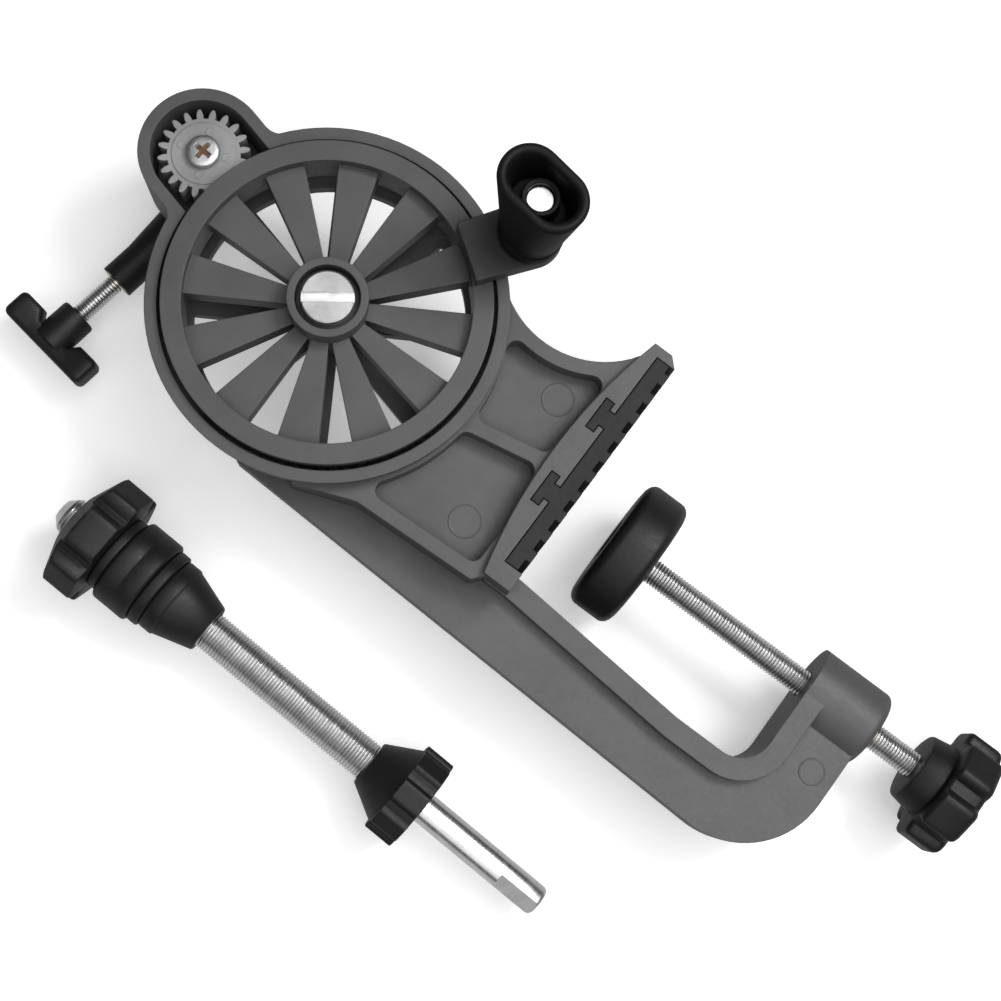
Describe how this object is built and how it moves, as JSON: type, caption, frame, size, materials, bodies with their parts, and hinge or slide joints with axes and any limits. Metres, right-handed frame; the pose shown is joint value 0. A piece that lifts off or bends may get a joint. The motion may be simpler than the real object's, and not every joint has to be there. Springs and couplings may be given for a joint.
{
  "type": "fishing line winder",
  "caption": "Hand-cranked, table-clamped fishing line winder: geared crank wheel and pinion in an open case, screw clamp, and a loose spool spindle with cones, collar and nut.",
  "frame": {"origin": "on the clamp screw's axis, in the plane of the jaw pad's teeth, where the table's face bears", "axes": "+X along the clamp screw from the jaw pad to the knob; +Z along the wheel's axle from the back of the case to the crank grip; +Y = Z x X, away from the loose spindle"},
  "size_m": [0.3179, 0.1708, 0.1005],
  "materials": {
    "frame_grey": "satin textured moulding",
    "wheel_grey": "satin moulding",
    "pinion_grey": "satin moulding",
    "pad_black": "matte",
    "black_plastic": "half gloss",
    "socket_black": "satin",
    "bush_black": "smooth",
    "bright_steel": "bright zinc plate",
    "brass": "turned"
  },
  "bodies": {
    "frame": {"clamp_frame": "frame_grey", "jaw_pad": "pad_black", "clamp_thread_insert": "brass", "axle_bolt": "bright_steel", "axle_washer": "bush_black", "axle_rear_washer": "bright_steel", "axle_nut": "bright_steel", "shaft_bush_front": "bush_black", "shaft_bush_rear": "bush_black"},
    "wheel": {"drive_wheel": "wheel_grey", "wheel_bush": "bush_black", "handle_screw": "bright_steel", "handle_washer": "bright_steel"},
    "handle": {"handle_grip": "black_plastic"},
    "output": {"pinion": "pinion_grey", "pinion_screw": "bright_steel", "output_shaft": "bright_steel", "spindle_chuck": "socket_black", "lock_thread_insert": "brass"},
    "lock_stud_body": {"lock_stud": "bright_steel"},
    "lock_wing_body": {"lock_wing": "black_plastic"},
    "foot": {"pressure_foot": "black_plastic"},
    "clamp_screw_body": {"clamp_screw": "bright_steel", "clamp_knob": "black_plastic", "foot_retaining_ring": "bright_steel"},
    "spindle": {"spool_spindle": "bright_steel", "fixed_cone": "black_plastic"},
    "cone_stack": {"sliding_cone": "black_plastic", "inner_washer": "black_plastic", "spool_collar": "black_plastic", "outer_washer": "black_plastic"},
    "nut": {"spool_nut": "black_plastic"}
  },
  "joints": [
    {"name": "wheel_spin", "type": "hinge", "parent": "frame", "child": "wheel", "pos_m": [-0.09, 0.0015, 0], "axis": [0, 0, 1], "continuous": true},
    {"name": "handle_spin", "type": "hinge", "parent": "wheel", "child": "handle", "pos_m": [-0.05567, 0.05071, 0.038], "axis": [0, 0, 1], "continuous": true},
    {"name": "output_spin", "type": "hinge", "parent": "frame", "child": "output", "pos_m": [-0.14543, 0.01522, 0], "axis": [0, 0, 1], "continuous": true},
    {"name": "lock_stud_travel", "type": "slide", "parent": "output", "child": "lock_stud_body", "axis": [-0.153, -0.9882, 0], "range_m": [-0.0045, 0.003]},
    {"name": "lock_wing_turn", "type": "hinge", "parent": "lock_stud_body", "child": "lock_wing_body", "pos_m": [-0.14543, 0.01522, -0.01], "axis": [-0.153, -0.9882, 0], "range_deg": [-1650, 1110]},
    {"name": "clamp_travel", "type": "slide", "parent": "frame", "child": "foot", "axis": [1, 0, 0], "range_m": [-0.014, 0.052]},
    {"name": "clamp_screw_turn", "type": "hinge", "parent": "foot", "child": "clamp_screw_body", "pos_m": [0.029, 0, 0], "axis": [1, 0, 0], "range_deg": [-5070, 18750]},
    {"name": "spindle_lift", "type": "slide", "parent": "frame", "child": "spindle", "axis": [0, 0, 1], "range_m": [0, 0.12]},
    {"name": "cone_slide", "type": "slide", "parent": "spindle", "child": "cone_stack", "axis": [0.9984, -0.0453, -0.0343], "range_m": [-0.004, 0.06]},
    {"name": "spool_nut_turn", "type": "hinge", "parent": "cone_stack", "child": "nut", "pos_m": [-0.10747, -0.08996, -0.00496], "axis": [0.9984, -0.0453, -0.0343], "range_deg": [-1470, 21630]}
  ],
  "couplings": [
    {"joint": "output_spin", "follows": "wheel_spin", "ratio": -3.75},
    {"joint": "lock_wing_turn", "follows": "lock_stud_travel", "rad_per_m": 6283.2},
    {"joint": "clamp_screw_turn", "follows": "clamp_travel", "rad_per_m": 6283.2},
    {"joint": "spool_nut_turn", "follows": "cone_slide", "rad_per_m": 6283.2}
  ]
}
